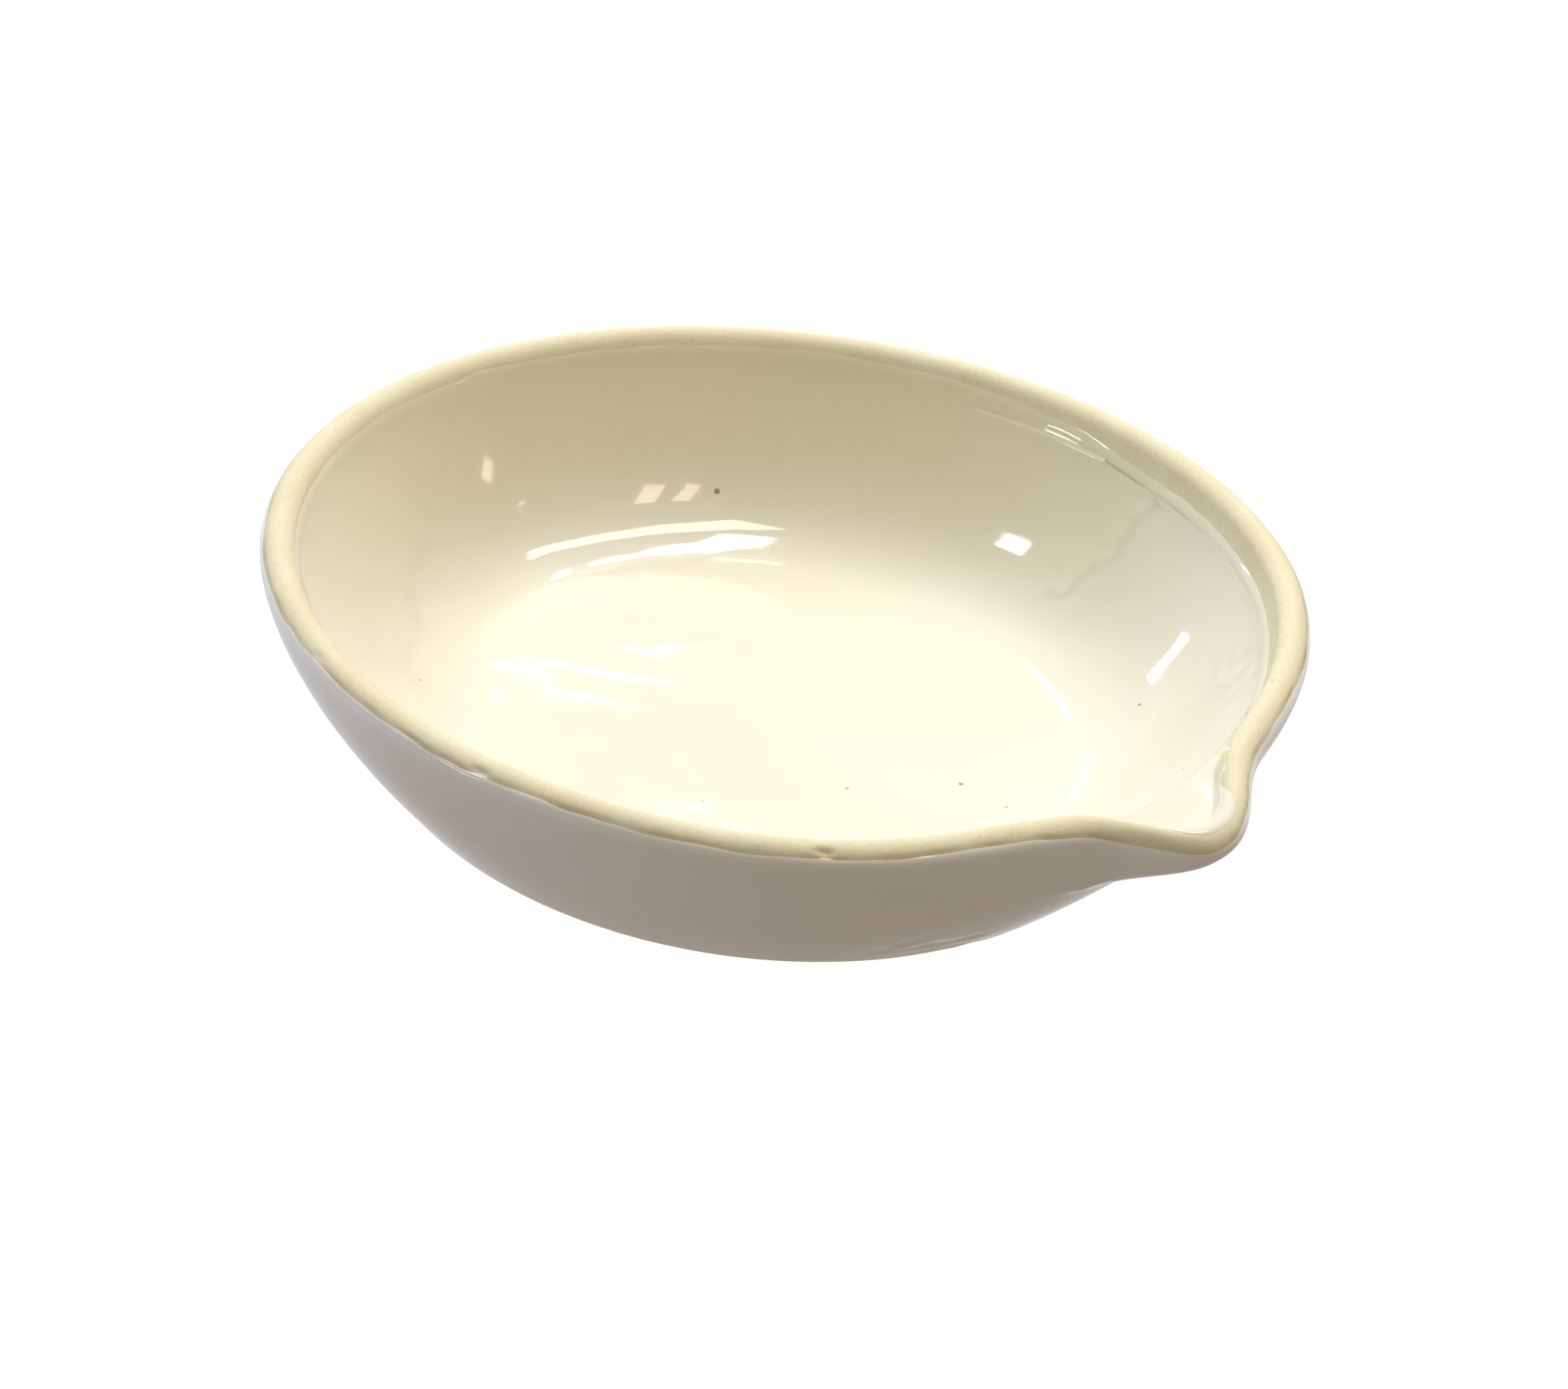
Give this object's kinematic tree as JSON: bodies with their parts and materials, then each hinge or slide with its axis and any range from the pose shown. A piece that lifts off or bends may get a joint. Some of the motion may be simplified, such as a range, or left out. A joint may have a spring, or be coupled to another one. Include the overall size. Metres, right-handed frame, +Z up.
{
  "type": "evaporating dish",
  "caption": "Shallow round porcelain evaporating dish with a flat foot, flared wall, glazed inside and out, a rounded bare rim and a pouring lip",
  "frame": {"origin": "middle of the flat foot, on the surface that the dish stands on", "axes": "+Z up out of the bowl, +X towards the pouring lip"},
  "size_m": [0.0946, 0.0899, 0.0196],
  "materials": {
    "bare_porcelain": "matte unglazed bisque, slightly sandy",
    "inner_glaze": "glossy cream-white glaze",
    "outer_glaze": "glossy white glaze"
  },
  "bodies": {
    "root": {"dish_body": "bare_porcelain", "interior_glaze": "inner_glaze", "exterior_glaze": "outer_glaze"}
  },
  "joints": []
}
